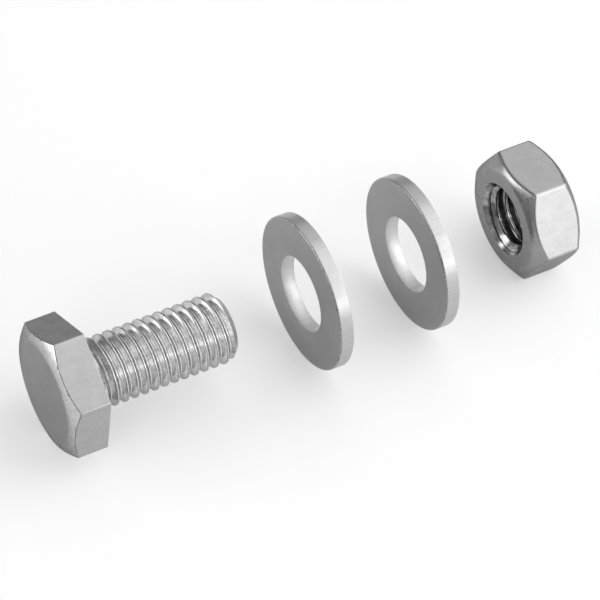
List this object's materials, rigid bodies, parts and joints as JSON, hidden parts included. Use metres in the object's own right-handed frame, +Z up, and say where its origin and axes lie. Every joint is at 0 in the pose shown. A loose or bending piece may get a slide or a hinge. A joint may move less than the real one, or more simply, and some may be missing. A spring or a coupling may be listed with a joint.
{
  "type": "hex bolt with washers",
  "caption": "Fully threaded hex-head bolt with plain washers and a hex nut in zinc-plated steel, set out in line in the order they go together.",
  "frame": {"origin": "on the table, under the middle of the whole row's box", "axes": "+X from the bolt's head towards the nut, along the axis of every piece; +Z up"},
  "size_m": [0.0798, 0.0228, 0.0222],
  "materials": {
    "bolt_zinc": "bright zinc plating over rolled and forged steel",
    "washer_zinc": "bright zinc plating over punched sheet steel",
    "nut_zinc": "bright zinc plating over pressed and tapped steel"
  },
  "bodies": {
    "root": {"hex_bolt": "bolt_zinc", "head_washer": "washer_zinc", "nut_washer": "washer_zinc", "hex_nut": "nut_zinc"}
  },
  "joints": []
}
